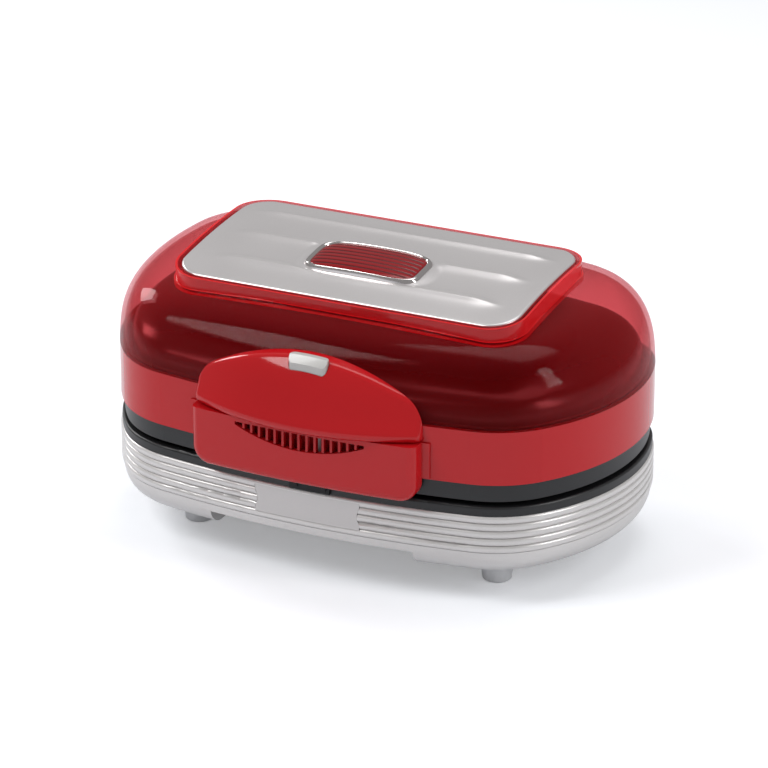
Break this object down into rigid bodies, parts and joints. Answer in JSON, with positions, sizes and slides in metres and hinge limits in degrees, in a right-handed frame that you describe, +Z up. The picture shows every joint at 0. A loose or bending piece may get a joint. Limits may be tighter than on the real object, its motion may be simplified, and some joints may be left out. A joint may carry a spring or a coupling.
{
  "type": "electric burger maker",
  "caption": "Countertop double burger cooker: ribbed silver base, hinged red see-through lid with ridged top plate, latched front handle and facing round cooking wells.",
  "frame": {"origin": "middle of the whole part's footprint, on the surface that the feet stand on", "axes": "+X to the right seen from the handle's side, +Y from the handle towards the hinge, +Z up"},
  "size_m": [0.34, 0.237, 0.1788],
  "materials": {
    "silver_paint": "satin silver paint on plastic",
    "blackened_steel": "black oxide",
    "satin_metal": "satin",
    "badge_metal": "satin",
    "foot_rubber": "matte grey",
    "black_phenolic": "satin black, heat resistant",
    "bright_steel": "bright",
    "nonstick_plate": "matte non-stick coating",
    "heater_steel": "dull",
    "sheet_aluminium": "mill",
    "white_insulation": "matte",
    "dark_plastic": "satin",
    "maroon_plastic": "satin",
    "red_gloss": "high gloss",
    "red_clear": "clear red, high gloss",
    "bezel_chrome": "polished",
    "button_grey": "satin grey"
  },
  "bodies": {
    "base": {"base_shell": "silver_paint", "feet": "foot_rubber", "front_badge_plate": "badge_metal", "base_rim": "black_phenolic", "case_screws": "bright_steel", "lower_cooking_plate": "nonstick_plate", "lower_heating_element": "heater_steel", "lower_element_clamps": "sheet_aluminium", "lower_heat_shield": "sheet_aluminium", "lower_shield_screws": "bright_steel", "thermostat": "heater_steel", "terminal_block": "white_insulation", "cord_gland": "dark_plastic", "base_wires": "white_insulation", "latch_keeper": "blackened_steel", "keeper_rivets": "blackened_steel", "hinge_brackets": "black_phenolic", "bracket_screws": "bright_steel", "hinge_pins": "bright_steel"},
    "lid": {"lid_hinge_arms": "black_phenolic", "lid_arm_screws": "bright_steel", "lid_frame": "black_phenolic", "lid_band": "red_gloss", "lid_screws": "bright_steel", "clear_dome": "red_clear", "top_plate": "satin_metal", "top_badge_bezel": "bezel_chrome", "top_badge_face": "red_gloss", "inner_cover": "maroon_plastic", "upper_cooking_plate": "nonstick_plate", "upper_heating_element": "heater_steel", "upper_element_clamps": "sheet_aluminium", "upper_heat_shield": "sheet_aluminium", "upper_shield_screws": "bright_steel", "thermal_cutout": "heater_steel", "handle_box": "red_gloss", "handle_cap": "red_gloss", "handle_screws": "bright_steel", "vent_grille": "red_gloss", "button_spring": "heater_steel", "latch_pin": "bright_steel"},
    "release_button": {"release_button": "button_grey"},
    "latch": {"latch_hook": "dark_plastic"}
  },
  "joints": [
    {"name": "lid_hinge", "type": "hinge", "parent": "base", "child": "lid", "pos_m": [0, 0.11, 0.075], "axis": [-1, 0, 0], "range_deg": [0, 98]},
    {"name": "button_press", "type": "slide", "parent": "lid", "child": "release_button", "axis": [0, 0, -1], "range_m": [0, 0.0025], "stiffness_N_per_m": 600, "springref_m": -0.001, "deforming": ["button_spring"]},
    {"name": "latch_pivot", "type": "hinge", "parent": "lid", "child": "latch", "pos_m": [0, -0.1032, 0.0835], "axis": [0, 1, 0], "range_deg": [0, 17]}
  ],
  "couplings": [
    {"joint": "latch_pivot", "follows": "button_press", "rad_per_m": 100}
  ]
}
